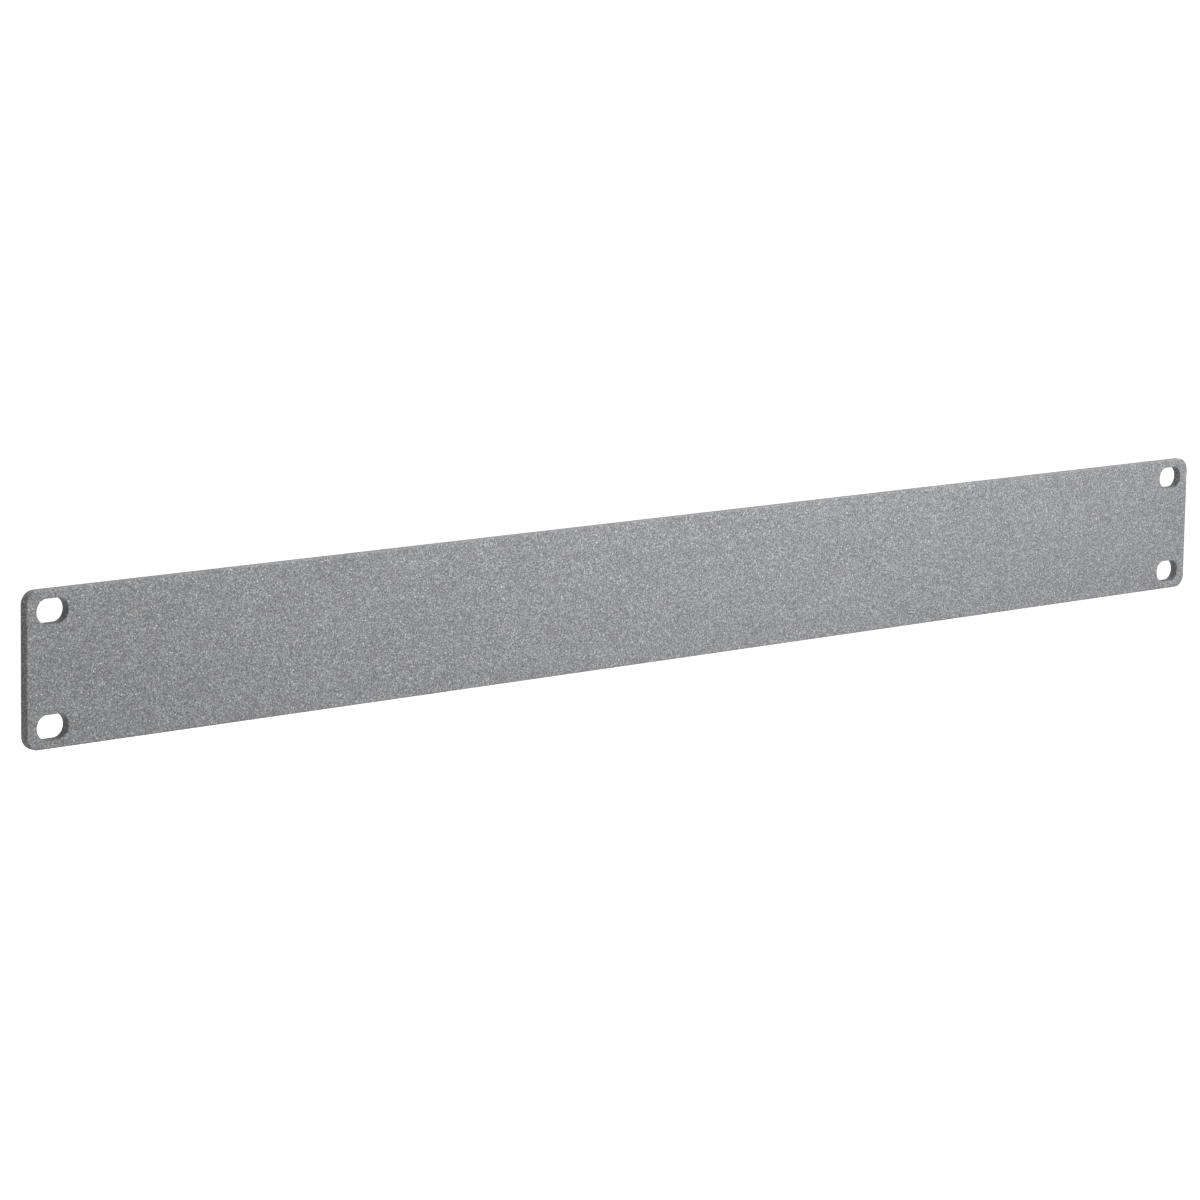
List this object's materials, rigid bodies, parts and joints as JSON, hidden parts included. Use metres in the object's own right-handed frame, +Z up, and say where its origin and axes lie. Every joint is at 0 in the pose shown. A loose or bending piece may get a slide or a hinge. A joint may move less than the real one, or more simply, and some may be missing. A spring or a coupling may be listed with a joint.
{
  "type": "rack blanking panel",
  "caption": "Flat metal plate with rounded corners and an obround slot in each corner, which closes one empty unit of a 19 inch equipment rack.",
  "frame": {"origin": "centre of the back face, which is also the centre of the four slots on the plane where the rack's rails meet the panel", "axes": "+X along the panel's length, to the right seen from the front; +Y out of the back face, into the rack; +Z up. The front faces -Y."},
  "size_m": [0.4826, 0.003, 0.0436],
  "materials": {
    "powder_coat": "grey powder coat, fine textured, with fine bright metal flecks"
  },
  "bodies": {
    "root": {"panel": "powder_coat"}
  },
  "joints": []
}
